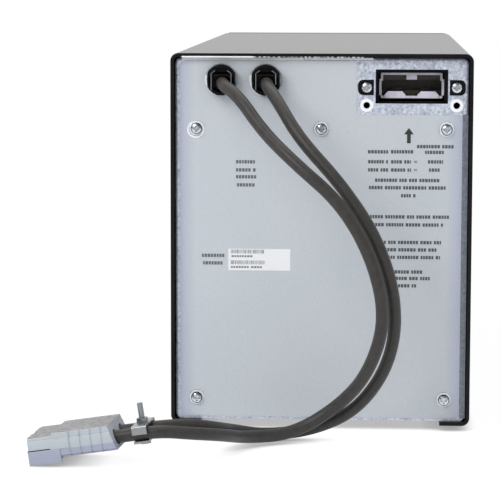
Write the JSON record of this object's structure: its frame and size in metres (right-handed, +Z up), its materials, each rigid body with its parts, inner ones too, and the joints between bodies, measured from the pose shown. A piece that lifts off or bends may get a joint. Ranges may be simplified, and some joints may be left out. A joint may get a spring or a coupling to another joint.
{
  "type": "ups extended-run battery pack",
  "caption": "Tower-form external battery pack: black steel wrap cover, grey rear panel film, recessed two-pole power connector and a two-lead cord with a matching plug.",
  "frame": {"origin": "on the floor, under the middle of the body's width and depth, leads and plug left out", "axes": "+Z up, +Y from the rear panel with the leads towards the front bezel, +X to the right of someone who faces the rear panel"},
  "size_m": [0.2369, 0.5507, 0.2138],
  "materials": {
    "cover_paint": "fine-textured black powder coat",
    "galvanised": "hot-dip galvanised, faint spangle",
    "zinc_plate": "bright zinc plate",
    "overlay_film": "matt light grey film",
    "label_stock": "white paper-faced label",
    "bezel_plastic": "matt black moulding",
    "foot_rubber": "black rubber",
    "gland_plastic": "glossy black nylon",
    "housing_plastic": "grey polycarbonate with a lilac cast",
    "contact_plate": "silver-plated copper",
    "bracket_paint": "black painted steel",
    "carrier_plastic": "matt black moulding",
    "lead_sheath": "charcoal PVC sheath, slightly shiny",
    "inner_sheath": "black insulation",
    "block_case": "dark grey moulded case",
    "lead_post": "dull lead alloy",
    "tinned_copper": "tinned copper",
    "foam": "closed-cell foam",
    "liner_film": "insulating film",
    "junction_plastic": "glass-filled moulding",
    "fuse_body": "ceramic body"
  },
  "bodies": {
    "root": {"cover": "cover_paint", "rear_panel": "galvanised", "rear_overlay": "overlay_film", "serial_label": "label_stock", "panel_washers": "zinc_plate", "panel_screws": "zinc_plate", "chassis": "galvanised", "cover_screws": "zinc_plate", "front_frame": "galvanised", "battery_door": "galvanised", "door_screws": "zinc_plate", "front_bezel": "bezel_plastic", "foot_rear_left": "foot_rubber", "foot_rear_right": "foot_rubber", "foot_front_left": "foot_rubber", "foot_front_right": "foot_rubber", "strain_relief_left": "gland_plastic", "strain_relief_right": "gland_plastic", "connector_bracket": "bracket_paint", "connector_carrier": "carrier_plastic", "carrier_screws": "zinc_plate", "panel_connector": "housing_plastic", "panel_contacts": "contact_plate", "plug_housing": "housing_plastic", "plug_contacts": "contact_plate", "battery_rear_left": "block_case", "battery_rear_right": "block_case", "battery_front_left": "block_case", "battery_front_right": "block_case", "battery_posts": "lead_post", "series_links": "tinned_copper", "cable_lugs": "tinned_copper", "terminal_bolts": "zinc_plate", "base_liner": "liner_film", "side_pads": "foam", "end_pads": "foam", "battery_retainer": "galvanised", "retainer_pad": "foam", "junction_block": "junction_plastic", "junction_screws": "zinc_plate", "fuse": "fuse_body", "lead_left": "lead_sheath", "lead_right": "lead_sheath", "gland_lead_left": "lead_sheath", "gland_lead_right": "lead_sheath", "panel_lead_left": "lead_sheath", "panel_lead_right": "lead_sheath", "battery_lead_rear_left": "inner_sheath", "battery_lead_rear_right": "inner_sheath", "battery_lead_front_left": "inner_sheath", "battery_lead_front_right": "inner_sheath", "clamp_upper": "zinc_plate", "clamp_lower": "zinc_plate", "clamp_screw": "zinc_plate", "clamp_nut": "zinc_plate"}
  },
  "joints": []
}
